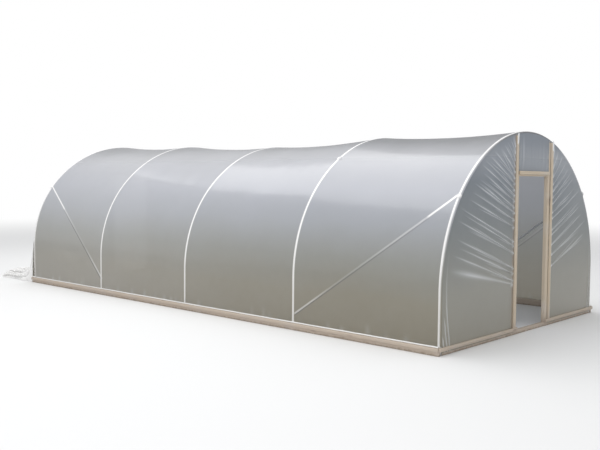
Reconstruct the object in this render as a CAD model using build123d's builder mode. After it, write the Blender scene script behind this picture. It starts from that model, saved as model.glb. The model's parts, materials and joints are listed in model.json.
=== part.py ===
"""A walk-in polytunnel: five bent tube hoops under one stretched film, on timber base rails, open at both ends."""

from build123d import *
import os
from math import asin, cos, radians, sin

os.makedirs("parts", exist_ok=True)

# Hoops: the sizes of the tube and of its centre line. The bend radii are measured on the centre line.
# Each hoop is modelled as a filled bar of few sides, with a corner towards the film.
tube_diameter = 32.0
tube_sides = 8
hoop_width = 3660.0
leg_height = 620.0
haunch_radius = 1584.0
haunch_turn = 42.0
bay_length = 2000.0
# How far each hoop has sunk into the ground, from the front hoop to the rear one.
hoop_drops = [0.0, 15.0, 90.0, 40.0, 0.0]

# Film: modelled thicker than the real sheet. Halfway between two hoops it is drawn in, like a saddle.
film_thickness = 3.0
film_draw_in = 40.0

# Ridge bar and diagonal braces, with the couplers that hold them to the hoops.
bar_diameter = 25.0
bar_wall = 2.0
ridge_gap = 14.0
brace_gap = 6.0
brace_top = 1600.0
brace_foot = 180.0
brace_set_back = 14.0
brace_overrun = 12.0
coupler_wall = 3.0
coupler_length = 24.0
coupler_link = 18.0
# The degrees of a hoop that a coupler's clip leaves open, on the side where the film bears.
clip_opening = 120.0

# Timber. The gables' outer face stands in front of the middle of the end hoops by face_reach.
face_reach = 20.0
rail_height = 88.0
rail_thickness = 38.0
batten_height = 38.0
batten_thickness = 18.0
batten_foot = 46.0
post_width = 95.0
post_depth = 47.0
door_width = 730.0
door_offset = 110.0
header_underside = 1810.0
header_height = 70.0
threshold_height = 45.0
film_lap = 40.0
transom_lap = 15.0
film_foot = 30.0

# Spare film behind the rear gable: how far it trails, and how wide and high its flare is at the hoop and where
# it ends, and the heap is at its middle and at its tail. spare_outline is its cross-section, in shares of both.
spare_reach = 1100.0
flare_width = 200.0
flare_height = 560.0
flare_end_width = 320.0
flare_end_height = 250.0
heap_width = 420.0
heap_height = 150.0
tail_width = 180.0
tail_height = 50.0
spare_outline = [(-0.5, 0.0), (-0.4, 0.6), (-0.12, 1.0), (0.2, 0.9), (0.42, 0.4), (0.5, 0.0)]
spare_drift = 120.0

# Gaps between pieces.
seat = 0.3
slip = 0.8

# Worked out from the sizes above.
tube_radius = tube_diameter / 2
bar_radius = bar_diameter / 2
half_axis = hoop_width / 2 - tube_radius
crown_radius = haunch_radius + (half_axis - haunch_radius) / cos(radians(haunch_turn))
crown_fall = (crown_radius - haunch_radius) * sin(radians(haunch_turn))
crown_height = leg_height - crown_fall + crown_radius
hoop_count = len(hoop_drops)
tunnel_length = bay_length * (hoop_count - 1)
film_inside = tube_radius + seat
film_outside = film_inside + film_thickness
end_reach = face_reach + film_thickness + 2 * seat + batten_thickness
spare_start = end_reach + seat
# The spare film's cross-sections: the share of its reach at which each lies, and its width and height.
spare_sections = [
    (0.0, flare_width, flare_height),
    (0.25, flare_end_width, flare_end_height),
    (0.6, heap_width, heap_height),
    (1.0, tail_width, tail_height),
]
# The origin lies on the ground in the middle of the whole length, spare film included.
middle_shift = (spare_start + spare_reach - end_reach) / 2
hoop_places = [middle_shift + tunnel_length / 2 - bay_length * n for n in range(hoop_count)]
rail_inside = half_axis + film_inside
rail_outside = rail_inside + rail_thickness
cover_foot = rail_height + seat
posts_outside = door_width / 2 + post_width


def save(part, name):
    """Labels one finished piece and writes its file."""
    part.label = name
    export_step(part, f"parts/{name}.step")


def draw_arch(offset, drop, foot=0.0, draw_in=0.0):
    """Draws a hoop's outline into the open BuildLine, from its left foot over the crown to its right foot.

    offset moves the outline outwards from the centre line, drop is how far the hoop has sunk, foot is the
    height at which both legs start, and draw_in pulls everything above the feet inwards.
    """
    spring = leg_height - drop
    half = half_axis + offset
    side = half_axis - haunch_radius
    bend = haunch_radius + offset - draw_in
    crown = crown_radius + offset - draw_in
    Line((-half, foot), (-half + draw_in, spring))
    CenterArc((-side, spring), bend, 180 - haunch_turn, haunch_turn)
    CenterArc((0, spring - crown_fall), crown, haunch_turn, 180 - 2 * haunch_turn)
    CenterArc((side, spring), bend, 0, haunch_turn)
    Line((half - draw_in, spring), (half, foot))


def hoop_point(height, drop, side):
    """A place on a hoop's centre line at a height on one side (-1 left, 1 right).

    Returns its y and z, and the inward direction there as a y and a z.
    """
    spring = leg_height - drop
    if height <= spring:
        return side * half_axis, height, -side, 0.0
    turn = asin((height - spring) / haunch_radius)
    y = half_axis - haunch_radius + haunch_radius * cos(turn)
    return side * y, height, -side * cos(turn), -sin(turn)


def bar_place(hoop, height, side, gap):
    """The hoop's centre and the bar's centre of a coupler on one side of a hoop, with gap between the tubes."""
    y, z, inward_y, inward_z = hoop_point(height, hoop_drops[hoop], side)
    on_hoop = Vector(hoop_places[hoop], y, z)
    inward = Vector(0, inward_y, inward_z)
    return on_hoop, on_hoop + inward * (tube_radius + gap + bar_radius)


def coupler(on_hoop, on_bar, bar_line, bar_slip):
    """An open clip on the inner side of a hoop and a ring round a bar, joined by a short link.

    on_hoop and on_bar are their centres, bar_line is the bar's direction, and bar_slip is the gap between the
    bar and its ring. The clip is open on the hoop's outer side, where the film bears.
    """
    reach = on_bar - on_hoop
    inward = Vector(0, reach.Y, reach.Z).normalized()
    hoop_plane = Plane(origin=on_hoop, x_dir=-inward, z_dir=inward.cross(Vector(1, 0, 0)))
    bar_plane = Plane(origin=on_bar, z_dir=bar_line)
    clip_end = (tube_radius + seat) * cos(radians(clip_opening / 2))
    with BuildPart() as body:
        with BuildSketch(hoop_plane.offset(-coupler_length / 2)):
            Circle(tube_radius + seat + coupler_wall)
            with Locations((clip_end + tube_diameter / 2, 0)):
                Rectangle(tube_diameter, 2 * tube_diameter, mode=Mode.SUBTRACT)
        extrude(amount=coupler_length)
        with BuildSketch(bar_plane.offset(-coupler_length / 2)):
            Circle(bar_radius + bar_slip + coupler_wall)
        extrude(amount=coupler_length)
        with BuildSketch(Plane(origin=on_hoop, x_dir=bar_line, z_dir=reach)):
            Rectangle(coupler_link, coupler_link)
        extrude(amount=reach.length)
        with BuildSketch(hoop_plane.offset(-coupler_length)):
            Circle(tube_radius + seat)
        extrude(amount=2 * coupler_length, mode=Mode.SUBTRACT)
        with BuildSketch(bar_plane.offset(-coupler_length)):
            Circle(bar_radius + bar_slip)
        extrude(amount=2 * coupler_length, mode=Mode.SUBTRACT)
    return body.part


def draw_film_section(drop, draw_in):
    """Draws the closed outline of the cover film at one place along the tunnel into the open BuildLine."""
    draw_arch(film_outside, drop, cover_foot, draw_in)
    draw_arch(film_inside, drop, cover_foot, draw_in)
    for side in (-1, 1):
        inner = side * (half_axis + film_inside)
        Line((inner, cover_foot), (inner + side * film_thickness, cover_foot))


def board(name, x_range, y_range, z_range):
    """Writes one square-cut board between two places along each axis."""
    with BuildPart() as piece:
        with BuildSketch(Plane.XY.offset(z_range[0])):
            with Locations(((x_range[0] + x_range[1]) / 2, (y_range[0] + y_range[1]) / 2)):
                Rectangle(abs(x_range[1] - x_range[0]), abs(y_range[1] - y_range[0]))
        extrude(amount=z_range[1] - z_range[0])
    save(piece.part, name)


def arch_slab(x, depth, offset, y_range, z_range, drop=0.0):
    """The part of a filled arch between two heights and two places across, depth thick along X from x."""
    with BuildPart() as slab:
        with BuildSketch(Plane.YZ.offset(x)):
            with BuildLine():
                draw_arch(offset, drop)
                Line((half_axis + offset, 0), (-half_axis - offset, 0))
            make_face()
            with Locations(((y_range[0] + y_range[1]) / 2, (z_range[0] + z_range[1]) / 2)):
                Rectangle(y_range[1] - y_range[0], z_range[1] - z_range[0], mode=Mode.INTERSECT)
        extrude(amount=depth)
    return slab.part


def gable_layer(face, outward, start, thickness):
    """The two places along X between which a layer of a gable lies.

    face is the plane of the gable's boards, outward is 1 at the front and -1 at the rear, and start is how far
    outside that plane the layer begins.
    """
    near = face + outward * start
    far = near + outward * thickness
    return min(near, far), max(near, far)


# Hoops: each is one bent tube that stands in the ground at both feet.
for number, (place, drop) in enumerate(zip(hoop_places, hoop_drops), 1):
    with BuildPart() as hoop:
        with BuildLine(Plane.YZ.offset(place)) as hoop_line:
            draw_arch(0.0, drop)
        with BuildSketch(Plane((place, -half_axis, 0))):
            RegularPolygon(tube_radius, tube_sides)
        sweep(path=hoop_line.wires()[0])
    save(hoop.part, f"hoop_{number}")

# Ridge bar: a tube for each bay, butted inside the couplers under the crowns, so that it follows the sunk hoops.
ridge_height = crown_height - tube_radius - ridge_gap - bar_radius
ridge_points = [(place, 0, ridge_height - drop) for place, drop in zip(hoop_places, hoop_drops)]
ridge_tubes = []
for start, end in zip(ridge_points, ridge_points[1:]):
    with BuildPart() as ridge_tube:
        with BuildLine() as ridge_line:
            Line(start, end)
        with BuildSketch(Plane(origin=start, z_dir=(1, 0, 0))):
            Circle(bar_radius)
            Circle(bar_radius - bar_wall, mode=Mode.SUBTRACT)
        sweep(path=ridge_line.wires()[0])
    ridge_tubes.append(ridge_tube.part)
save(Compound(children=ridge_tubes), "ridge_bar")

ridge_couplers = []
for place, drop in zip(hoop_places, hoop_drops):
    crown = Vector(place, 0, crown_height - drop)
    bar_centre = Vector(place, 0, ridge_height - drop)
    ridge_couplers.append(coupler(crown, bar_centre, Vector(1, 0, 0), slip))
save(Compound(children=ridge_couplers), "ridge_couplers")

# Braces: from high on each end hoop down to the foot of the hoop next to it, on both sides.
for hand, side in {"left": -1, "right": 1}.items():
    brace_couplers = []
    for end, (end_hoop, next_hoop, inward_x) in {"front": (0, 1, -1), "rear": (-1, -2, 1)}.items():
        high_hoop, high_bar = bar_place(end_hoop, brace_top, side, brace_gap)
        low_hoop, low_bar = bar_place(next_hoop, brace_foot, side, brace_gap)
        high_bar = high_bar + Vector(inward_x * brace_set_back, 0, 0)
        along = (low_bar - high_bar).normalized()
        start = high_bar - along * brace_overrun
        with BuildPart() as brace:
            with BuildSketch(Plane(origin=start, z_dir=along)):
                Circle(bar_radius)
                Circle(bar_radius - bar_wall, mode=Mode.SUBTRACT)
            extrude(amount=(low_bar - high_bar).length + 2 * brace_overrun)
        save(brace.part, f"brace_{end}_{hand}")
        brace_couplers.append(coupler(high_hoop, high_bar, along, seat))
        brace_couplers.append(coupler(low_hoop, low_bar, along, seat))
    save(Compound(children=brace_couplers), f"brace_couplers_{hand}")

# Side rails: two boards a side, butted at the middle hoop, with a batten along their outer faces.
front_face = hoop_places[0] + face_reach
rear_face = hoop_places[-1] - face_reach
middle = hoop_places[hoop_count // 2]
for hand, side in {"left": -1, "right": 1}.items():
    across = sorted((side * rail_inside, side * rail_outside))
    board(f"side_rail_{hand}_front", (middle, front_face), across, (0, rail_height))
    board(f"side_rail_{hand}_rear", (rear_face, middle), across, (0, rail_height))
    across = sorted((side * (rail_outside + seat), side * (rail_outside + seat + batten_thickness)))
    board(f"side_batten_{hand}", (rear_face, front_face), across, (batten_foot, batten_foot + batten_height))

# Cover: one solid for each bay. The end bays also reach over the whole of the end hoops.
for number in range(1, hoop_count):
    bay_drops = hoop_drops[number - 1 : number + 1]
    bay_places = hoop_places[number - 1 : number + 1]
    sections = [
        (bay_places[0], bay_drops[0], 0.0),
        (sum(bay_places) / 2, sum(bay_drops) / 2, film_draw_in),
        (bay_places[1], bay_drops[1], 0.0),
    ]
    if number == 1:
        sections.insert(0, (front_face, bay_drops[0], 0.0))
    if number == hoop_count - 1:
        sections.append((rear_face, bay_drops[1], 0.0))
    with BuildPart() as cover:
        for place, drop, draw_in in sections:
            with BuildSketch(Plane.YZ.offset(place)):
                with BuildLine():
                    draw_film_section(drop, draw_in)
                make_face()
        loft(ruled=True)
    save(cover.part, f"cover_bay_{number}")

# Gables: the same timber frame and film at both ends. outward is 1 at the front and -1 at the rear.
post_edges = {
    "left": (door_offset - posts_outside, door_offset - door_width / 2),
    "right": (door_offset + door_width / 2, door_offset + posts_outside),
}
door_edges = (door_offset - door_width / 2, door_offset + door_width / 2)
lap_edges = (post_edges["left"][0] + film_lap, post_edges["right"][1] - film_lap)
transom_edges = (door_edges[0] - transom_lap, door_edges[1] + transom_lap)
# The battens on the posts cover the gable film's edge and lie flush with the posts' outer edges.
post_battens = (
    (post_edges["left"][0], post_edges["left"][0] + batten_height),
    (post_edges["right"][1] - batten_height, post_edges["right"][1]),
)
arch_top = crown_height + film_outside + slip
for end, face, outward in (("front", front_face, 1), ("rear", rear_face, -1)):
    drop = hoop_drops[0] if outward == 1 else hoop_drops[-1]
    frame_layer = gable_layer(face, outward, -post_depth, post_depth)
    rail_layer = gable_layer(face, outward, -rail_thickness, rail_thickness)
    film_layer = gable_layer(face, outward, seat, film_thickness)
    batten_layer = gable_layer(face, outward, film_thickness + 2 * seat, batten_thickness)

    for hand, edges in post_edges.items():
        depth = frame_layer[1] - frame_layer[0]
        post = arch_slab(frame_layer[0], depth, -tube_radius - seat, edges, (0, arch_top), drop)
        save(post, f"{end}_post_{hand}")
    board(f"{end}_header", frame_layer, door_edges, (header_underside, header_underside + header_height))
    board(f"{end}_threshold", frame_layer, door_edges, (0, threshold_height))
    hoop_inside = half_axis - film_inside
    board(f"{end}_rail_left", rail_layer, (-hoop_inside, post_edges["left"][0]), (0, rail_height))
    board(f"{end}_rail_right", rail_layer, (post_edges["right"][1], hoop_inside), (0, rail_height))

    film_reach = half_axis + film_outside
    film_edges = {
        "film_left": ((-film_reach, lap_edges[0]), (film_foot, arch_top)),
        "film_right": ((lap_edges[1], film_reach), (film_foot, arch_top)),
        "transom_film": (transom_edges, (header_underside + film_lap / 2, arch_top)),
    }
    for name, (across, heights) in film_edges.items():
        panel = arch_slab(film_layer[0], film_thickness, film_outside, across, heights, drop)
        save(panel, f"{end}_{name}")

    battens = []
    depth = batten_layer[1] - batten_layer[0]
    rail_battens = (-rail_outside, door_edges[0]), (door_edges[1], rail_outside)
    for across in rail_battens:
        with BuildPart() as batten:
            with BuildSketch(Plane.YZ.offset(batten_layer[0])):
                with Locations((sum(across) / 2, batten_foot + batten_height / 2)):
                    Rectangle(across[1] - across[0], batten_height)
            extrude(amount=depth)
        battens.append(batten.part)
    for across in post_battens:
        heights = (batten_foot + batten_height + slip, arch_top)
        battens.append(arch_slab(batten_layer[0], depth, film_inside, across, heights, drop))
    heights = (header_underside + film_lap / 2, header_underside + film_lap / 2 + batten_height)
    battens.append(arch_slab(batten_layer[0], depth, film_inside, transom_edges, heights, drop))
    save(Compound(children=battens), f"{end}_battens")

# Spare film: it flares from the foot of the rear hoop and ends in a low heap on the ground.
with BuildPart() as spare:
    for share, width, height in spare_sections:
        centre = -rail_outside + width / 2 + spare_drift * share
        with BuildSketch(Plane.YZ.offset(hoop_places[-1] - spare_start - spare_reach * share)):
            with BuildLine():
                Polyline([(centre + width * y, height * z) for y, z in spare_outline], close=True)
            make_face()
    loft(ruled=True)
save(spare.part, "spare_film")
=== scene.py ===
"""The looks of a walk-in polytunnel: stretched film, taped hoops, sawn timber and a plain studio round them."""
import json
import logging
import math
import random
from collections.abc import Callable
from dataclasses import dataclass, field
from enum import Enum
from typing import Union

import bmesh
import bpy
from mathutils import Matrix, Vector, noise


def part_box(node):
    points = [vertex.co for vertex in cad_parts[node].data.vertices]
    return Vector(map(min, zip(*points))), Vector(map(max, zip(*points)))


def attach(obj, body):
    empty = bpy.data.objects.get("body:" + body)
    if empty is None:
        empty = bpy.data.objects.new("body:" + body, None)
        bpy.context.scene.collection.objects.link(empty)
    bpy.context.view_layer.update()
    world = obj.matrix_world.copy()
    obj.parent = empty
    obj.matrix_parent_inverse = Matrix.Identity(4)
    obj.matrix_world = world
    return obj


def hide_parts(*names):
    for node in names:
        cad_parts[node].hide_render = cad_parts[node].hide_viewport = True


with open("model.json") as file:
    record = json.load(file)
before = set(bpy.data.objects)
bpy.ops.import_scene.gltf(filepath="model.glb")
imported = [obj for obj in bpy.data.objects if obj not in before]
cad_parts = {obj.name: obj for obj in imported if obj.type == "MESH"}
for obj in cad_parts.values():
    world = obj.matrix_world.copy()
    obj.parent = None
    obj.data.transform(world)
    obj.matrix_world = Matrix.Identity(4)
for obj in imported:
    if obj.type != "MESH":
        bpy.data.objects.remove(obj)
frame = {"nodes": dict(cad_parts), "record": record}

logging.basicConfig(level=logging.INFO, format="%(message)s")
log = logging.getLogger("polytunnel")

Colour = tuple[float, float, float, float]
Stops = tuple[tuple[float, float, float, float], ...]
Number = Union["Wire", float]
Box = tuple[Vector, Vector]
Laid = tuple[Vector, float, float]
BODY = "root"

# Each stop is a share of the crown's height, then red, green and blue. The cover's tints hold painted reflection:
# lightest at seven to eight tenths of the height as a painted sky reflection, and darkening towards the crown as a
# painted dark reflection; they also turn darker and browner towards the ground. The gable's tints are darkest at
# about three quarters of the height.
COVER_TINTS_AND_REFLECTIONS: Stops = (
    (0.0, 0.178, 0.156, 0.108), (0.20, 0.222, 0.202, 0.152), (0.38, 0.245, 0.248, 0.228),
    (0.55, 0.330, 0.345, 0.375), (0.70, 0.375, 0.388, 0.436), (0.84, 0.370, 0.378, 0.418),
    (0.90, 0.290, 0.296, 0.320), (0.95, 0.195, 0.199, 0.210), (1.0, 0.150, 0.153, 0.161),
)
COVER_GLOWS: Stops = (
    (0.0, 0.78, 0.73, 0.62), (0.30, 0.78, 0.77, 0.70), (0.60, 0.76, 0.79, 0.84), (1.0, 0.76, 0.79, 0.86),
)
GABLE_TINTS: Stops = (
    (0.0, 0.262, 0.242, 0.192), (0.25, 0.268, 0.260, 0.222), (0.48, 0.190, 0.205, 0.205),
    (0.74, 0.112, 0.138, 0.168), (0.84, 0.205, 0.230, 0.268), (1.0, 0.280, 0.305, 0.345),
)
GABLE_GLOWS: Stops = (
    (0.0, 0.74, 0.71, 0.62), (0.30, 0.72, 0.73, 0.68), (0.60, 0.64, 0.70, 0.72), (1.0, 0.62, 0.69, 0.80),
)


class Slot(Enum):
    """The record's material slots."""

    FILM = "film"
    TUBE = "galvanised_tube"
    CLIP = "clip_steel"
    TIMBER = "timber"


class End(Enum):
    """The two gables, each with the direction in which it faces along X."""

    FRONT = 1
    REAR = -1

    @property
    def hoop(self) -> int:
        """The index of the end's hoop, counted from the front."""
        return 0 if self is End.FRONT else -1

    @property
    def facing(self) -> Vector:
        """The direction in which the gable faces."""
        return Vector((self.value, 0, 0))

    def node(self, part: str, hand: "Hand | None" = None) -> str:
        """The name of one of the end's nodes or pieces."""
        return "_".join([self.name.lower(), part] + ([hand.word] if hand else []))


class Hand(Enum):
    """The two sides, each with its sign along Y."""

    LEFT = -1
    RIGHT = 1

    @property
    def word(self) -> str:
        """The side's name in the names of its nodes."""
        return self.name.lower()

    def outer(self, box: Box) -> float:
        """The Y of a box's side that looks away from the tunnel's middle."""
        return box[0].y if self is Hand.LEFT else box[1].y

    def inner(self, box: Box) -> float:
        """The Y of a box's side that looks to the tunnel's middle."""
        return box[1].y if self is Hand.LEFT else box[0].y


class Wire:
    """A value inside a material, such as a node's output, with the usual operators."""

    def __init__(self, graph: "Graph", socket: bpy.types.NodeSocket) -> None:
        """Keeps the graph and the output socket that the value comes from."""
        self.graph = graph
        self.socket = socket

    def _maths(self, operation: str, *values: Number) -> "Wire":
        """Adds one Math node with its inputs in order."""
        return self.graph.node("ShaderNodeMath", {"operation": operation}, dict(enumerate(values)))

    def __add__(self, other: Number) -> "Wire":
        """The sum of this value and another."""
        return self._maths("ADD", self, other)

    def __radd__(self, other: float) -> "Wire":
        """The sum of a number and this value."""
        return self + other

    def __sub__(self, other: Number) -> "Wire":
        """This value less another."""
        return self._maths("SUBTRACT", self, other)

    def __rsub__(self, other: float) -> "Wire":
        """A number less this value."""
        return self._maths("SUBTRACT", other, self)

    def __mul__(self, other: Number) -> "Wire":
        """The product of this value and another."""
        return self._maths("MULTIPLY", self, other)

    def __rmul__(self, other: float) -> "Wire":
        """The product of a number and this value."""
        return self * other

    def __abs__(self) -> "Wire":
        """This value without its sign."""
        return self._maths("ABSOLUTE", self)

    def larger(self, other: Number) -> "Wire":
        """The larger of this value and another."""
        return self._maths("MAXIMUM", self, other)

    def between(self, low: float, high: float) -> "Wire":
        """Runs smoothly from 0 where this value is low to 1 where it is high.

        Args:
            low: The value that gives 0. It may be more than high.
            high: The value that gives 1.

        Returns:
            The smooth step.
        """
        if low > high:
            return 1.0 - self.between(high, low)
        settings = {"interpolation_type": "SMOOTHSTEP"}
        return self.graph.node("ShaderNodeMapRange", settings, {"Value": self, "From Min": low, "From Max": high})

    def axis(self, index: int) -> "Wire":
        """One coordinate of this place: 0, 1 or 2."""
        return self.graph.node("ShaderNodeSeparateXYZ", values={0: self}, output=index)

    def from_start(self, start: Vector, direction: Vector) -> "Wire":
        """How far this place lies from start along a direction."""
        settings, values = {"operation": "DOT_PRODUCT"}, {0: self, 1: direction}
        return self.graph.node("ShaderNodeVectorMath", settings, values, output=1) - start.dot(direction)

    def noise(self, scale: float, detail: float = 2.0, distortion: float = 0.0) -> "Wire":
        """Cloudy noise from 0 to 1, read at this place.

        Args:
            scale: How many clouds there are to a unit.
            detail: How many finer layers it has.
            distortion: How far its shapes are bent.

        Returns:
            The noise.
        """
        values = {"Vector": self, "Scale": scale, "Detail": detail, "Distortion": distortion}
        return self.graph.node("ShaderNodeTexNoise", values=values)

    def ramp(self, stops: Stops) -> "Wire":
        """A colour that changes with this value, through stops of a place, red, green and blue."""
        return self.graph.node("ShaderNodeValToRGB", {"stops": stops}, {"Fac": self})

    def curve(self, *points: tuple[float, float]) -> "Wire":
        """A number that changes with this value, through points of a place and a level."""
        return self.ramp(tuple((place, level, level, level) for place, level in points)).axis(0)


class Graph:
    """The nodes of one material, or of the world."""

    def __init__(self, owner: bpy.types.Material | bpy.types.World) -> None:
        """Starts with no nodes.

        Args:
            owner: The material or world that the nodes are for.
        """
        owner.use_nodes = True
        self.owner = owner
        self.tree = owner.node_tree
        self.tree.nodes.clear()

    def node(self, kind: str, settings: dict | None = None, values: dict | None = None,
             output: int | str = 0) -> Wire:
        """Adds one node, sets it and feeds it.

        Args:
            kind: The node's type, such as ShaderNodeMath.
            settings: Its properties, which are set first. stops are a colour ramp's places and colours.
            values: What its inputs take, by identifier, name or index: a Wire or a plain value.
            output: Which of its outputs is returned.

        Returns:
            That output.
        """
        made = self.tree.nodes.new(kind)
        for name, value in (settings or {}).items():
            if name == "stops":
                self._set_stops(made.color_ramp, value)
            else:
                setattr(made, name, value)
        known = {socket.identifier: socket for socket in made.inputs}
        for name, value in (values or {}).items():
            socket = known[name] if name in known else made.inputs[name]
            if isinstance(value, Wire):
                self.tree.links.new(value.socket, socket)
            else:
                socket.default_value = value
        return Wire(self, made.outputs[output])

    @staticmethod
    def _set_stops(ramp: bpy.types.ColorRamp, stops: Stops) -> None:
        """Gives a colour ramp its stops.

        Args:
            ramp: The ramp, which has two stops to start with.
            stops: The places, from the lowest to the highest, with their colours.
        """
        while len(ramp.elements) < len(stops):
            ramp.elements.new(0.5)
        for element, (place, *colour) in zip(ramp.elements, stops):
            element.position = place
            element.color = (*colour, 1.0)

    def attribute(self, name: str) -> Wire:
        """Reads a mesh attribute of the piece."""
        return self.node("ShaderNodeAttribute", {"attribute_name": name}, output=2)

    def place(self, scale: tuple[float, float, float] = (1, 1, 1), uv: bool = False) -> Wire:
        """Reads where a point of the piece is, in metres.

        Args:
            scale: What each axis is multiplied by.
            uv: Whether the piece's UV map is read and not its object coordinates.

        Returns:
            The scaled place.
        """
        spot = self.node("ShaderNodeUVMap") if uv else self.node("ShaderNodeTexCoord", output=3)
        return self.node("ShaderNodeMapping", values={"Vector": spot, "Scale": scale})

    def blend(self, share: Wire, first: Wire | Colour, second: Wire | Colour) -> Wire:
        """Blends two colours: the first where share is 0, the second where it is 1."""
        values = {"Factor_Float": share, "A_Color": first, "B_Color": second}
        return self.node("ShaderNodeMix", {"data_type": "RGBA"}, values, output=2)

    def bump(self, height: Wire, depth: float) -> Wire:
        """A surface normal bent by a height from 0 to 1, which stands for depth metres."""
        return self.node("ShaderNodeBump", values={"Height": height, "Distance": depth, "Strength": 1.0})

    def surface(self, **values: Wire | float | Colour) -> Wire:
        """Adds a Principled shader. Underscores in the names stand for spaces."""
        return self.node("ShaderNodeBsdfPrincipled", values={k.replace("_", " "): v for k, v in values.items()})

    def mix(self, share: Number, first: Wire, second: Wire) -> Wire:
        """Mixes two shaders: the first where share is 0, the second where it is 1."""
        return self.node("ShaderNodeMixShader", values={0: share, 1: first, 2: second})

    def finish(self, shader: Wire) -> bpy.types.Material | bpy.types.World:
        """Leads the shader to the output.

        Args:
            shader: The shader.

        Returns:
            The finished material or world.
        """
        kind = "World" if isinstance(self.owner, bpy.types.World) else "Material"
        output = self.tree.nodes.new(f"ShaderNodeOutput{kind}")
        self.tree.links.new(shader.socket, output.inputs["Surface"])
        return self.owner


def grey(level: float, warmth: float = 0.0) -> Colour:
    """A grey of that level, moved towards red and yellow by warmth, or towards blue where that is negative."""
    return (level * (1 + warmth), level, level * (1 - warmth), 1.0)


@dataclass(frozen=True)
class Dressing:
    """A finished material, and the slot of the pieces that wear it."""

    material: bpy.types.Material
    slot: Slot


@dataclass(frozen=True)
class Finish:
    """What every finish of the tunnel has: its material's name, and its slot."""

    name: str
    slot: Slot

    def start(self) -> tuple[Graph, Wire]:
        """Starts the material, and reads where a point of the piece is."""
        graph = Graph(bpy.data.materials.new(self.name))
        return graph, graph.place()

    def end(self, graph: Graph, shader: Wire) -> Dressing:
        """Ends the material with its shader."""
        return Dressing(graph.finish(shader), self.slot)


@dataclass(frozen=True)
class Strut:
    """A straight bar behind the film on both sides, and the slant from the bar to the line painted for it on the
    film.
    """

    top: Vector
    foot: Vector
    slant: Vector
    taped: float
    half_width: float = 0.013

    def marks(self, spot: Wire) -> tuple[Wire, Wire]:
        """The painted highlight and painted shade by which the bar shows on the film.

        Args:
            spot: The place, with the same side's Y for both sides.

        Returns:
            The painted highlight along the bar, which is strongest where it is taped, and the painted shade along its
            underside.
        """
        bar = self.foot - self.top
        run = bar.length
        across = bar.cross(self.slant).normalized()
        along = spot.from_start(self.top, bar / run) * (1 / run)
        below = spot.from_start(self.top, -across if across.z > 0 else across)
        width = self.half_width
        taped = self.taped / run
        # Painted highlight along the bar: strongest on the taped part, faint in the middle, a little stronger near
        # the foot.
        light = along.curve((0.0, 0.0), (0.012, 0.95), (taped, 0.85), (taped + 0.015, 0.36), (0.55, 0.12),
                            (0.72, 0.10), (0.86, 0.34), (0.985, 0.42), (1.0, 0.0))
        # Painted shade under the bar, growing towards its foot.
        painted_shade = along.curve((taped, 0.0), (taped + 0.02, 0.25), (0.5, 0.55), (0.98, 0.65), (1.0, 0.0))
        lit = below.between(-width, -width * 0.5) * below.between(width, width * 0.4)
        dark = below.between(width * 0.3, width * 0.9) * below.between(width * 2.0, width * 1.3)
        return lit * light, dark * painted_shade


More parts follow.
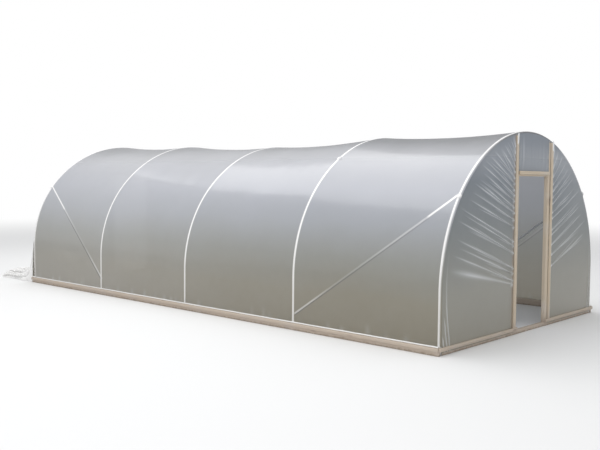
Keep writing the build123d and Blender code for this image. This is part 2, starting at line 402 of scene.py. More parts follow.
@dataclass(frozen=True)
class FilmFinish(Finish):
    """Hazy translucent sheet: glossy outside, lit through from behind, and a little see-through. On the cover its
    colour also holds painted reflection, and the braces' painted highlight and painted shade.
    """

    name: str = "cover_film"
    slot: Slot = Slot.FILM
    tints: Stops = COVER_TINTS_AND_REFLECTIONS
    glows: Stops = COVER_GLOWS
    crown_height: float = 2.33
    clouds: float = 0.10
    struts: tuple[Strut, ...] = ()
    posts: tuple[float, ...] = ()
    post_reach: float = 0.06
    timber: Colour = (0.44, 0.36, 0.30, 1)
    # Painted reflection: the cover grows lighter towards this colour at the rear end.
    sheen: Colour = (0.72, 0.72, 0.74, 1)
    sheen_run: tuple[float, float] = (3.5, -3.2)
    sheen_share: float = 0.18
    crease: Colour = (0.86, 0.88, 0.92, 1)
    ridge: tuple[float, float] = (0.86, 0.97)
    dust: float = 0.05
    roughness: float = 0.27
    ridge_roughness: float = 0.35
    coat: float = 0.6
    coat_roughness: float = 0.12
    relief: float = 0.010
    glow: float = 0.18
    see_through: float = 0.03

    def build(self) -> Dressing:
        """Makes the material, which reads the attributes contact and fold.

        Returns:
            The film's dressing.
        """
        graph, spot = self.start()
        contact, fold = graph.attribute("contact"), graph.attribute("fold")
        height = spot.axis(2) * (1 / self.crown_height)
        cloudy = height + (spot.noise(1.1, 3.0) - 0.5) * self.clouds
        # On the cover the tints by height paint a light reflection band high on the wall and a darker crown.
        tint, glow = cloudy.ramp(self.tints), cloudy.ramp(self.glows)
        if self.struts:
            # Painted reflection: the cover's tint grows lighter from the front towards the rear.
            tint = graph.blend(spot.axis(0).between(*self.sheen_run) * self.sheen_share, tint, self.sheen)
            parts = {0: spot.axis(0), 1: abs(spot.axis(1)), 2: spot.axis(2)}
            mirrored = graph.node("ShaderNodeCombineXYZ", values=parts)
            light, painted_shade = map(sum, zip(*(strut.marks(mirrored) for strut in self.struts)))
            # The braces' painted highlight whitens the film as contact does; their painted shade darkens its tint and
            # glow.
            contact = contact.larger(light)
            tint = graph.blend(painted_shade, tint, grey(0.10))
            glow = graph.blend(painted_shade * 0.6, glow, grey(0.30))
        for edge in self.posts:
            near_post = abs(spot.axis(1) - edge).between(self.post_reach, 0.0)
            tint = graph.blend(near_post * 0.6, tint, self.timber)
        tint = graph.blend(spot.noise(9.0, 4.0) * self.dust, tint, grey(0.62, 0.02))
        # The fold whitens the film: the creased film's own whiteness, and on the pleat and tail crests partly a
        # painted highlight.
        tint = graph.blend(fold, tint, self.crease)
        tint = graph.blend(contact, tint, grey(0.93, 0.012))
        near_ridge = height.between(*self.ridge)
        relief = spot.noise(2.2, 1.0) + graph.place((1.0, 1.0, 0.35)).noise(26.0) * 0.02
        outside = graph.surface(
            Base_Color=tint, Roughness=near_ridge * self.ridge_roughness + self.roughness, IOR=1.5,
            Coat_Weight=(1.0 - near_ridge) * self.coat, Coat_Roughness=self.coat_roughness,
            Normal=graph.bump(relief, self.relief),
        )
        inside = graph.node("ShaderNodeBsdfTranslucent", values={"Color": glow})
        film = graph.mix(self.glow * (1.0 - contact * 0.6), outside, inside)
        clear = graph.node("ShaderNodeBsdfTransparent", values={"Color": grey(0.92)})
        see = self.see_through * (1.0 - contact) * (1.0 - fold * 0.7)
        return self.end(graph, graph.mix(see, film, clear))


@dataclass(frozen=True)
class TimberFinish(Finish):
    """Pale sawn softwood: grain along the board's own U direction, knots, saw marks, and soil near the ground."""

    name: str = "sawn_timber"
    slot: Slot = Slot.TIMBER
    pale: Colour = (0.67, 0.58, 0.465, 1)
    deep: Colour = (0.48, 0.385, 0.28, 1)
    knot: Colour = (0.16, 0.10, 0.07, 1)
    damp: Colour = (0.40, 0.335, 0.295, 1)
    damp_heights: tuple[float, float] = (0.20, 0.03)
    soil: Colour = (0.24, 0.19, 0.14, 1)
    soil_height: float = 0.028
    relief: float = 0.0011

    @staticmethod
    def grain(graph: Graph, along: float, across: float, detail: float = 2.0, distortion: float = 0.0) -> Wire:
        """Noise with that many clouds to a metre along the board and across it."""
        return graph.place((along, across, 1.0), uv=True).noise(1.0, detail, distortion)

    def build(self) -> Dressing:
        """Makes the material, which reads the board's UV map in metres.

        Returns:
            The timber's dressing.
        """
        graph, spot = self.start()
        bend = self.grain(graph, 1.4, 9.0)
        rings = self.grain(graph, 1.1, 95.0, 3.0, 0.6)
        streaks = self.grain(graph, 5.0, 420.0)
        saw_marks = self.grain(graph, 260.0, 14.0, 1.0)
        cells = graph.node(
            "ShaderNodeTexVoronoi", {"voronoi_dimensions": "2D"},
            {"Vector": graph.place((2.3, 13.0, 1.0), uv=True), "Scale": 1.0, "Randomness": 1.0},
        )
        knots = cells.between(0.16, 0.06) * self.grain(graph, 0.9, 4.0).between(0.54, 0.64)
        weather = spot.noise(3.5, 4.0).between(0.45, 0.75)
        splash = spot.axis(2) + (spot.noise(22.0, 4.0) - 0.5) * 0.05
        wood = graph.blend(rings.between(0.35, 0.72) * 0.55 + bend * 0.25, self.pale, self.deep)
        for share, colour in (
            (streaks.between(0.55, 0.8) * 0.35, self.deep),
            (knots * 0.6, self.knot),
            (weather * 0.35, grey(0.58, 0.03)),
            (splash.between(*self.damp_heights) * 0.6, self.damp),
            (splash.between(self.soil_height, 0.0) * 0.75, self.soil),
        ):
            wood = graph.blend(share, wood, colour)
        relief = rings * 0.5 + streaks * 0.3 + saw_marks * 0.25 - knots * 0.4
        return self.end(graph, graph.surface(
            Base_Color=wood, Roughness=0.72 + streaks * 0.2, Normal=graph.bump(relief, self.relief)
        ))


@dataclass(frozen=True)
class TubeFinish(Finish):
    """Galvanised steel tube: zinc spangle, white bloom and dull patches."""

    name: str = "galvanised_steel"
    slot: Slot = Slot.TUBE
    bright: Colour = (0.74, 0.76, 0.78, 1)
    dull: Colour = (0.48, 0.50, 0.52, 1)
    spangles: float = 140.0

    def build(self) -> Dressing:
        """Makes the material.

        Returns:
            The tubes' dressing.
        """
        graph, spot = self.start()
        values = {"Vector": spot, "Scale": self.spangles}
        spangle = graph.node("ShaderNodeTexVoronoi", values=values, output=1).axis(0)
        patches = spot.noise(7.0, 4.0)
        bloom = spot.noise(17.0, 5.0).between(0.56, 0.72) * 0.5
        zinc = graph.blend(spangle * 0.5 + patches * 0.4, self.bright, self.dull)
        zinc = graph.blend(bloom, zinc, grey(0.66))
        return self.end(graph, graph.surface(
            Base_Color=zinc, Metallic=0.55 - bloom * 0.5, Roughness=0.34 + patches * 0.25 + spangle * 0.08,
            Normal=graph.bump(spot.noise(60.0, 3.0), 0.0004),
        ))


@dataclass(frozen=True)
class ClipFinish(Finish):
    """Zinc plated pressed steel, with a few rust specks."""

    name: str = "plated_clips"
    slot: Slot = Slot.CLIP
    plate: Colour = (0.52, 0.53, 0.52, 1)
    rust: Colour = (0.25, 0.11, 0.05, 1)

    def build(self) -> Dressing:
        """Makes the material.

        Returns:
            The clips' dressing.
        """
        graph, spot = self.start()
        cloud = spot.noise(90.0, 4.0)
        specks = spot.noise(210.0, 3.0).between(0.66, 0.74)
        metal = graph.blend(specks, graph.blend(cloud * 0.4, self.plate, grey(0.33)), self.rust)
        return self.end(graph, graph.surface(
            Base_Color=metal, Metallic=0.9 - specks * 0.8, Roughness=0.3 + cloud * 0.25,
            Normal=graph.bump(cloud, 0.0003),
        ))


@dataclass(frozen=True)
class TapeFinish(Finish):
    """White foam tape: matt, with fine cells and a little dust."""

    name: str = "foam_tape"
    slot: Slot = Slot.FILM
    tone: Colour = (0.88, 0.88, 0.87, 1)

    def build(self) -> Dressing:
        """Makes the material.

        Returns:
            The tape's dressing.
        """
        graph, spot = self.start()
        cells = spot.noise(320.0)
        dust = spot.noise(6.0, 4.0).between(0.5, 0.8) * 0.3
        return self.end(graph, graph.surface(
            Base_Color=graph.blend(dust, self.tone, grey(0.62, 0.03)), Roughness=0.8 + cells * 0.15,
            Normal=graph.bump(cells, 0.0004),
        ))


@dataclass
class Tunnel:
    """The measures that the film, the tape and the timber share. What the frame shows is read from its nodes."""

    hoop_count: int = 5
    leg_height: float = 0.620
    haunch_radius: float = 1.584
    haunch_turn: float = math.radians(42)
    tape_thickness: float = 0.003
    tape_clearance: float = 0.0005
    draw_in: float = 0.040
    places: list[float] = field(init=False)
    drops: list[float] = field(init=False)
    tube_radius: float = field(init=False)
    half_axis: float = field(init=False)
    haunch_side: float = field(init=False)
    crown_radius: float = field(init=False)
    crown_fall: float = field(init=False)
    crown_turn: float = field(init=False)
    bearing: float = field(init=False)
    lengths: tuple[float, float, float] = field(init=False)
    half_girth: float = field(init=False)

    def __post_init__(self) -> None:
        """Reads the hoops' places and sizes from the frame, and works out the arch."""
        boxes = [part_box(f"hoop_{number}") for number in range(1, self.hoop_count + 1)]
        self.places = [(low.x + high.x) / 2 for low, high in boxes]
        self.drops = [boxes[0][1].z - high.z for _, high in boxes]
        self.tube_radius = (boxes[0][1].x - boxes[0][0].x) / 2
        self.half_axis = boxes[0][1].y - self.tube_radius
        self.haunch_side = self.half_axis - self.haunch_radius
        self.crown_radius = self.haunch_radius + self.haunch_side / math.cos(self.haunch_turn)
        self.crown_fall = (self.crown_radius - self.haunch_radius) * math.sin(self.haunch_turn)
        self.crown_turn = math.pi / 2 - self.haunch_turn
        self.bearing = self.tube_radius + self.tape_thickness + self.tape_clearance
        self.lengths = (
            self.crown_radius * self.crown_turn, self.haunch_radius * self.haunch_turn, self.leg_height
        )
        self.half_girth = sum(self.lengths)

    def arch(self, share: float, drop: float, offset: float, draw_in: float = 0.0, foot: float = 0.0) -> Vector:
        """A place on an arch.

        Args:
            share: From -1 at the left foot over 0 at the crown to 1 at the right foot.
            drop: How far the arch has sunk.
            offset: How far it lies outside the hoops' centre line.
            draw_in: How far everything above the feet is drawn in.
            foot: The height at which its legs start.

        Returns:
            The place, with X as 0.
        """
        hand = 1 if share >= 0 else -1
        run = abs(share) * self.half_girth
        spring = self.leg_height - drop
        crown, haunch, leg = self.lengths
        if run <= crown:
            turn = run / self.crown_radius
            reach = self.crown_radius + offset - draw_in
            return Vector((0, hand * reach * math.sin(turn), spring - self.crown_fall + reach * math.cos(turn)))
        if run <= crown + haunch:
            turn = self.crown_turn + (run - crown) / self.haunch_radius
            reach = self.haunch_radius + offset - draw_in
            return Vector((0, hand * (self.haunch_side + reach * math.sin(turn)), spring + reach * math.cos(turn)))
        down = (run - crown - haunch) / leg
        width = self.half_axis + offset - draw_in * (1 - down)
        return Vector((0, hand * width, spring + (foot - spring) * down))

    def crown_at(self, y: float, offset: float = 0.0) -> float:
        """The height of an end hoop's crown at a distance across the tunnel, offset outside its centre line."""
        return self.leg_height - self.crown_fall + math.sqrt((self.crown_radius + offset) ** 2 - y * y)

    def outward(self, share: float) -> Vector:
        """The direction that points straight out of the arch.

        Args:
            share: The place, given as for arch.

        Returns:
            The direction.
        """
        crown, haunch, _ = self.lengths
        run = min(abs(share) * self.half_girth, crown + haunch)
        turn = self.crown_turn + (run - crown) / self.haunch_radius if run > crown else run / self.crown_radius
        return Vector((0, math.sin(turn) if share >= 0 else -math.sin(turn), math.cos(turn)))

    def share_at(self, height: float, drop: float = 0.0) -> float:
        """Finds a height on an arch along the centre line.

        Args:
            height: The height.
            drop: How far the arch has sunk.

        Returns:
            The share on the right side.
        """
        low, high = 0.0, 1.0
        for _ in range(40):
            middle = (low + high) / 2
            if self.arch(middle, drop, 0.0).z > height:
                low = middle
            else:
                high = middle
        return low

    def bay(self, x: float) -> tuple[int, float]:
        """Finds the bay that a place along the tunnel is in.

        Args:
            x: The place.

        Returns:
            The bay's index from the front, and how far through the bay the place is.
        """
        last = self.hoop_count - 2
        number = next((n for n in range(last) if x >= self.places[n + 1]), last)
        share = (self.places[number] - x) / (self.places[number] - self.places[number + 1])
        return number, min(max(share, 0.0), 1.0)

    def sink(self, x: float) -> float:
        """How far the film's arch has sunk at a place along the tunnel."""
        number, share = self.bay(x)
        return self.drops[number] + (self.drops[number + 1] - self.drops[number]) * share


def smooth(value: float, low: float, high: float) -> float:
    """Runs smoothly from 0 at low to 1 at high."""
    share = min(max((value - low) / (high - low), 0.0), 1.0)
    return share * share * (3 - 2 * share)


def new_object(name: str, made: bmesh.types.BMesh, material: bpy.types.Material) -> bpy.types.Object:
    """Turns a finished bmesh into an object of the scene.

    Args:
        name: The object's name.
        made: The bmesh, which is freed.
        material: The object's material.

    Returns:
        The object.
    """
    mesh = bpy.data.meshes.new(name)
    made.to_mesh(mesh)
    made.free()
    mesh.materials.append(material)
    result = bpy.data.objects.new(name, mesh)
    bpy.context.scene.collection.objects.link(result)
    return result


def settle(name: str, made: bmesh.types.BMesh, dressing: Dressing, *nodes: str) -> bpy.types.Object:
    """Turns a finished bmesh into a piece that rides on the frame.

    Args:
        name: The piece's name.
        made: The bmesh, which is freed.
        dressing: What the piece wears.
        *nodes: The frame's nodes that the piece replaces.

    Returns:
        The piece.
    """
    piece = new_object(name, made, dressing.material)
    piece.data.shade_smooth()
    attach(piece, BODY)
    if nodes:
        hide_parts(*nodes)
    log.info("%s: %d faces", name, len(piece.data.polygons))
    return piece


def lay(name: str, faces: tuple[int, int], place: Callable[[int, int], Laid], outward: Callable[[Vector], Vector],
        dressing: Dressing, *nodes: str, merge: float = 0.0) -> bpy.types.Object:
    """Lays a sheet point by point, with the attributes contact and fold.

    Args:
        name: The sheet's name.
        faces: How many faces its grid has each way.
        place: Gives a point's place, contact and fold for its two counts.
        outward: Gives the direction that is outwards at a place.
        dressing: What the sheet wears.
        *nodes: The frame's nodes that the sheet replaces.
        merge: How close points are merged, or 0 for none.

    Returns:
        The sheet.
    """
    across, along = faces
    sheet = bmesh.new()
    contact = sheet.verts.layers.float.new("contact")
    fold = sheet.verts.layers.float.new("fold")
    bmesh.ops.create_grid(sheet, x_segments=across, y_segments=along, size=0.5, calc_uvs=False)
    for point in sheet.verts:
        first = round((point.co.x + 0.5) * across)
        second = round((point.co.y + 0.5) * along)
        point.co, point[contact], point[fold] = place(first, second)
    if merge:
        bmesh.ops.remove_doubles(sheet, verts=sheet.verts, dist=merge)
    sheet.normal_update()
    if sum(face.normal.dot(outward(face.calc_center_median())) for face in sheet.faces) < 0:
        bmesh.ops.reverse_faces(sheet, faces=sheet.faces)
    return settle(name, sheet, dressing, *nodes)


@dataclass
class Cover:
    """The one long sheet over all the hoops, drawn in between them, with its edges nailed to the base rails."""

    tunnel: Tunnel
    film: Dressing
    row_step: float = 0.036
    bay_columns: int = 36
    near_hoop: tuple[float, ...] = (0.0, 0.005, 0.0105, 0.013, 0.0155, 0.0185, 0.024, 0.035, 0.055, 0.09)
    wrap_steps: int = 5
    touching: tuple[float, float] = (0.0105, 0.0185)
    rear_touching: float = 1.4
    hoop_contact: float = 0.95
    leg_fading: float = 0.25
    ripple: float = 0.0035
    crease_rise: float = 0.009
    crease_reach: float = 0.09
    most_fold: float = 0.15
    foot_lift: float = 0.005
    lip_gap: float = 0.0012
    lip_clearance: float = 0.00015
    lip_roll: tuple[tuple[float, float], ...] = (
        (-0.016, 0.001), (-0.011, 0.007), (-0.003, 0.011), (0.006, 0.009), (0.010, 0.003), (0.006, -0.003),
        (0.0, -0.0045), (0.0, -0.036),
    )
    lip_contacts: tuple[float, float] = (0.4, 0.85)
    lip_fold: float = 0.5
    lip_puff: float = 0.003
    lip_girth: float = 0.08
    bump_rise: float = 0.016
    bump_reach: float = 0.028
    bump_rows: int = 8
    bump_turned: float = 0.8
    clip_height: float = 1.585
    joint_height: float = 2.0
    foot: float = field(init=False)
    lip: list[tuple[float, float]] = field(init=False)
    bumps: list[Vector] = field(init=False)

    def __post_init__(self) -> None:
        """Finds the height of the sheet's foot, the outline of its lip and the bumps over the clips.

        The lip runs across the top of the rail, makes a soft roll over the batten and goes down behind it.
        There are bumps at both braced hoops and at one joint of the second hoop.
        """
        tunnel = self.tunnel
        low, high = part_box("side_rail_left_front")
        top = high.z + self.lip_gap
        outside = -low.y + self.lip_clearance
        side = tunnel.half_axis + tunnel.bearing
        self.foot = top + self.foot_lift
        self.lip = [(side + 0.004, top + 0.0015), (side + 0.010, top)]
        self.lip += [(outside + out, top + up) for out, up in self.lip_roll]
        self.bumps = []
        for hoop, height in ((0, self.clip_height), (1, self.joint_height), (-1, self.clip_height)):
            share = tunnel.share_at(height, tunnel.drops[hoop])
            for hand in Hand:
                spot = tunnel.arch(hand.value * share, tunnel.drops[hoop], tunnel.bearing)
                spot.x = tunnel.places[hoop]
                self.bumps.append(spot)

    def shares(self) -> list[float]:
        """Spreads the grid's rows over the arch, closer together at the bumps.

        Returns:
            Each row's share of the arch.
        """
        tunnel = self.tunnel
        count = round(2 * tunnel.half_girth / self.row_step)
        found = [-1 + 2 * step / count for step in range(count + 1)]
        fine = self.bump_reach / 5 / tunnel.half_girth
        for height, drop in ((self.clip_height, tunnel.drops[0]), (self.joint_height, tunnel.drops[1])):
            middle = tunnel.share_at(height, drop)
            for hand in Hand:
                found += [hand.value * middle + fine * step for step in range(-self.bump_rows, self.bump_rows + 1)]
        found.sort()
        kept = found[:1]
        least = fine * 0.6
        for share in found[1:-1]:
            if share - kept[-1] > least and found[-1] - share > least:
                kept.append(share)
        return [*kept, found[-1]]

    def columns(self) -> list[tuple[float, float]]:
        """Spreads the grid's columns along the tunnel, closer together at the hoops and round the end hoops.

        Returns:
            Each column's X, and the film's distance outside the hoops' centre line there.
        """
        places, bearing = self.tunnel.places, self.tunnel.bearing
        turns = [math.pi / 2 * step / self.wrap_steps for step in range(1, self.wrap_steps + 1)]
        wrap = [(bearing * math.sin(turn), bearing * math.cos(turn)) for turn in turns]
        spots = []
        for front, rear in zip(places, places[1:]):
            start, stop = front - self.near_hoop[-1], rear + self.near_hoop[-1]
            spots += [front - reach for reach in self.near_hoop]
            spots += [start + (stop - start) * step / self.bay_columns for step in range(1, self.bay_columns)]
            spots += [rear + reach for reach in reversed(self.near_hoop[1:])]
        return [
            *((places[0] + past, out) for past, out in reversed(wrap)),
            *((spot, bearing) for spot in [*spots, places[-1]]),
            *((places[-1] - past, out) for past, out in wrap),
        ]

    def lip_point(self, x: float, offset: float, index: int, side: int) -> Laid:
        """Lays one point of the lip.

        Args:
            x: Its place along the tunnel.
            offset: The film's distance outside the hoops' centre line there.
            index: Its index in the lip's outline, from the hoops outwards.
            side: -1 on the left, 1 on the right.

        Returns:
            The point's place, contact and fold.
        """
        width, height = self.lip[index]
        on_rail = index < 2
        if on_rail:
            width -= self.tunnel.bearing - offset
        rolled = self.lip_puff if 2 < index < 7 else 0.0
        puff = noise.noise(Vector((x * 9, index * 0.3, side * 5.0))) * rolled
        contact = self.lip_contacts[0 if on_rail else 1]
        return Vector((x, side * (width + puff), height + puff)), contact, self.lip_fold

    def arch_point(self, x: float, offset: float, share: float) -> Laid:
        """Lays one point of the sheet over the hoops.

        Args:
            x: Its place along the tunnel.
            offset: The film's distance outside the hoops' centre line there.
            share: Its share of the arch.

        Returns:
            The point's place, contact and fold.
        """
        tunnel = self.tunnel
        first, last = tunnel.places[0], tunnel.places[-1]
        through = tunnel.bay(x)[1]
        slack = 4 * through * (1 - through)
        nearest = min(abs(x - hoop) for hoop in tunnel.places)
        wide = self.rear_touching if abs(x - last) == nearest else 1.0
        touch = 1 - smooth(nearest / wide, *self.touching)
        round_end = max(0.0, x - first, last - x) / tunnel.bearing
        side = abs(share)
        wave = noise.noise(Vector((x * 1.7, share * 6.0, 3.1))) + 0.4 * noise.noise(Vector((x * 5, share * 9, 8)))
        slant = x * 15 + 5.0 * side * math.sin(x * 2.1)
        crease = max(noise.noise(Vector((slant, 4.0 * (share > 0), 6.0))) - 0.10, 0.0)
        length = 0.5 + 0.5 * noise.noise(Vector((x * 2.3, 1.0, 2.0)))
        low = smooth(side, 1.0 - self.crease_reach * length, 1.0) ** 1.5
        out = wave * self.ripple * slack * (1 - smooth(side, 0.94, 1.0))
        out += crease * self.crease_rise * low * (1 - touch)
        outward = tunnel.outward(share)
        spot = tunnel.arch(share, tunnel.sink(x), offset, tunnel.draw_in * slack, self.foot) + outward * out
        spot.x = x
        leg = smooth(side, 0.60, 0.92)
        shown = touch * (self.hoop_contact - self.leg_fading * leg)
        shown *= 1 - smooth(round_end, 0.1, 0.8) * (0.7 + 0.3 * leg)
        past_end = Vector(((x > first) - (x < last), 0, 0))
        for bump in self.bumps:
            gap = (spot - bump).length
            if gap < 3 * self.bump_reach:
                push = math.exp(-(gap / self.bump_reach) ** 4)
                spot += (outward + past_end * self.bump_turned) * push * self.bump_rise
                shown = max(shown, push)
        return spot, shown, min(crease * 0.4, self.most_fold) * low

    def build(self) -> None:
        """Lays the sheet over the hoops."""
        tunnel = self.tunnel
        columns, shares = self.columns(), self.shares()
        last = len(shares) - 1

        def place(first: int, second: int) -> Laid:
            """Gives one point of the sheet.

            Args:
                first: Its count along the tunnel.
                second: Its count over the arch, from the left edge.

            Returns:
                Its place, contact and fold.
            """
            row = second - len(self.lip)
            if row < 0:
                return self.lip_point(*columns[first], -row - 1, -1)
            if row > last:
                return self.lip_point(*columns[first], row - last - 1, 1)
            return self.arch_point(*columns[first], shares[row])

        bays = [f"cover_bay_{number}" for number in range(1, tunnel.hoop_count)]
        piece = lay("cover_film", (len(columns) - 1, last + 2 * len(self.lip)), place,
                    lambda centre: Vector((0, centre.y, centre.z - 0.4)), self.film, *bays)
        length = columns[0][0] - columns[-1][0]
        girth = 2 * (tunnel.half_girth - self.foot + self.lip_girth)


@dataclass
class Pleat:
    """One gather of the gable's film: from a point on the door post it fans out towards the hoop."""

    post: float
    rim: float
    width: float
    height: float
    reach: float

    def shape(self, height: float, across: float) -> float:
        """How near a place is to the pleat's crest.

        Args:
            height: The height at the post that the place's ruling runs to.
            across: From 0 at the hoop to 1 at the film's edge on the post.

        Returns:
            From 0 away from the pleat to almost 1 on its crest.
        """
        gap = abs(height - self.rim - (self.post - self.rim) * across)
        width = self.width * (1.25 - 0.45 * across)
        return math.exp(-math.sqrt((gap / width) ** 2 + 0.04) * 1.5) if gap <= 5 * width else 0.0


@dataclass
class GableSheet:
    """The film between one side of an end hoop and the door post, gathered at the post."""

    tunnel: Tunnel
    film: Dressing
    end: End
    hand: Hand
    rows: int = 500
    columns: int = 96
    plain_height: float = 0.59
    rises: tuple[tuple[float, float], ...] = (
        (0.50, 0.0), (0.60, 0.42), (0.75, 0.45), (1.00, 0.45), (1.22, 0.39), (1.50, 0.39), (1.69, 0.35),
        (1.83, 0.34), (1.96, 0.27), (2.10, 0.17),
    )
    corner_folds: tuple[tuple[float, float, float], ...] = (
        (0.042, 0.004, 0.20), (0.070, 0.020, 0.40), (0.100, 0.034, 0.62),
    )
    corner_fold_width: float = 0.0055
    corner_fold_rise: float = 0.008
    batten_margin: float = 0.004
    pinch_reach: float = 0.014
    pleat_margin: float = 0.055
    sharp_height: float = 0.009
    swell: float = 0.006
    rim_gap: float = 0.0005
    weld: float = 0.0002
    slack: tuple[float, float] = (1.02, 1.04)
    seed: int = 7
    gathers: dict[Hand, tuple[float, ...]] = field(default_factory=lambda: {
        Hand.LEFT: (0.57, 0.61, 0.69, 0.75, 0.92, 1.00, 1.05, 1.21, 1.29, 1.37, 1.43, 1.50, 1.56, 1.62, 1.69, 1.75,
                    1.81, 1.87, 1.93, 1.99, 2.05),
        Hand.RIGHT: (0.70, 0.83, 0.95, 1.07, 1.13, 1.27, 1.34, 1.44, 1.51, 1.58, 1.66, 1.74, 1.81, 1.88, 1.95, 2.03),
    })
    lap: float = field(init=False)
    lapped: float = field(init=False)
    layer: float = field(init=False)
    low: float = field(init=False)
    top: float = field(init=False)
    pleats: list[Pleat] = field(init=False)

    def __post_init__(self) -> None:
        """Reads where the film's edge on the post is, and draws the pleats."""
        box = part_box(self.end.node("film", self.hand))
        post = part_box(self.end.node("post", self.hand))
        self.lap = self.hand.inner(box)
        self.lapped = abs(self.lap - self.hand.outer(post)) + self.batten_margin
        self.layer = (box[0].x + box[1].x) / 2
        self.low = box[0].z
        self.top = self.tunnel.crown_at(self.lap)
        self.pleats = self.draw_pleats()

    def draw_pleats(self) -> list[Pleat]:
        """Spreads the gathers up the post, each with a few pleats that fan out from it.

        Returns:
            The pleats.
        """
        dice = random.Random(self.seed + 10 * self.hand.value + 3 * self.end.value)
        pleats = []
        for height in self.gathers[self.hand]:
            count = 1 if height < self.plain_height else dice.choice((3, 4, 4, 5))
            for number in range(count):
                main = number == 0
                pleats.append(Pleat(
                    post=height + dice.uniform(-0.006, 0.006),
                    rim=height + (0 if main else dice.uniform(-0.06, 0.075)),
                    width=dice.uniform(0.0050, 0.0080) if main else dice.uniform(0.0035, 0.0060),
                    height=dice.uniform(0.010, 0.014) if main else dice.uniform(0.004, 0.010),
                    reach=dice.uniform(0.02, 0.14) if main else dice.uniform(0.10, 0.6),
                ))
        return pleats

    def near(self, height: float) -> list[Pleat]:
        """The pleats that come near a ruling, given its height at the post."""
        margin = self.pleat_margin
        return [p for p in self.pleats if min(p.post, p.rim) - margin < height < max(p.post, p.rim) + margin]

    def relief(self, pleats: list[Pleat], across: float, height: float, edge: float) -> tuple[float, float]:
        """How far the film stands out and how sharply it is folded.

        Args:
            pleats: The pleats that come near this place's ruling.
            across: From 0 at the hoop to 1 at the film's edge on the post.
            height: The height at the post that this place's ruling runs to.
            edge: The distance across the tunnel to the film's edge.

        Returns:
            The distance in metres, and the fold from 0 to 1, whose whitening is partly a painted highlight on the
            crests.
        """
        out = self.swell * math.sin(math.pi * min(across, 1.0))
        crest = 0.0
        pinch = smooth(edge, self.lapped, self.lapped + self.pinch_reach)
        for pleat in pleats:
            shape = pleat.shape(height, across)
            grown = smooth(across, pleat.reach, pleat.reach + 0.30) ** 0.7
            faded = 0.8 + 0.2 * math.sin(9 * across + 40 * pleat.post)
            out += pleat.height * shape * grown * (0.4 + 0.6 * across)
            # The crest whitens the film along each pleat's crest: partly the creased film's own whiteness, partly a
            # painted highlight.
            crest = max(crest, shape ** 1.3 * grown * faded * min(pleat.height / self.sharp_height, 1.0))
        for gather in self.gathers[self.hand]:
            spill = math.exp(-((height - gather) / 0.018) ** 2) * (1 - smooth(edge, 0.05, 0.12))
            crest = max(crest, 0.9 * spill)
        for foot, head, top in self.corner_folds:
            up = height / top
            middle = foot + (head - foot) * up + 0.002 * math.sin(9 * up)
            shape = math.exp(-((across - middle) / self.corner_fold_width) ** 2) * (1 - smooth(up, 0.7, 1.0))
            out += self.corner_fold_rise * shape
            crest = max(crest, 0.55 * shape)
        return out * pinch, min(crest, 1.0) * (0.45 + 0.55 * pinch)

    def rim(self, height: float) -> Vector:
        """Finds where a ruling starts on the hoop.

        Args:
            height: The height on the post at which the ruling ends.

        Returns:
            Its start, on the right side and with X as 0.
        """
        tunnel = self.tunnel
        lift = 0.0
        knots = [*self.rises, (self.top, 0.0)]
        for (start, low), (stop, high) in zip(knots, knots[1:]):
            if start <= height <= stop:
                lift = low + (high - low) * (height - start) / (stop - start)
        if height + lift < tunnel.leg_height:
            return Vector((0, tunnel.half_axis, height + lift))
        return tunnel.arch(tunnel.share_at(min(height + lift, self.top - self.rim_gap)), 0.0, 0.0)

    def build(self) -> None:
        """Lays the sheet between the hoop and the post."""
        tunnel = self.tunnel
        start_x = tunnel.places[self.end.hoop] + self.end.value * tunnel.bearing
        heights = [self.low + (self.top - self.low) * (row / self.rows) ** 0.92 for row in range(self.rows + 1)]
        rims = [self.rim(height) for height in heights]
        near = [self.near(height) for height in heights]

        def place(first: int, second: int) -> Laid:
            """Gives one point of the sheet.

            Args:
                first: Its count from the hoop to the post.
                second: Its count up the post.

            Returns:
                Its place, contact and fold.
            """
            step = first / self.columns
            across = step - 0.11 * math.sin(2 * math.pi * step)
            height, rim = heights[second], rims[second]
            y = self.hand.value * rim.y + (self.lap - self.hand.value * rim.y) * across
            z = rim.z + (height - rim.z) * across
            out, fold = self.relief(near[second], across, height, abs(y - self.lap))
            x = start_x + (self.layer - start_x) * smooth(across, 0.0, 0.03)
            return Vector((x + self.end.value * out, y, z)), 0.0, fold

        piece = lay(self.end.node("gathered_film", self.hand), (self.columns, self.rows), place,
                    lambda centre: self.end.facing, self.film, self.end.node("film", self.hand), merge=self.weld)
        width = (tunnel.half_axis - abs(self.lap)) * self.slack[0]
        height = (self.top - self.low) * self.slack[1]
        area = sum(face.area for face in piece.data.polygons)
        self.end.node("post", self.hand)
        min(area, width * height)


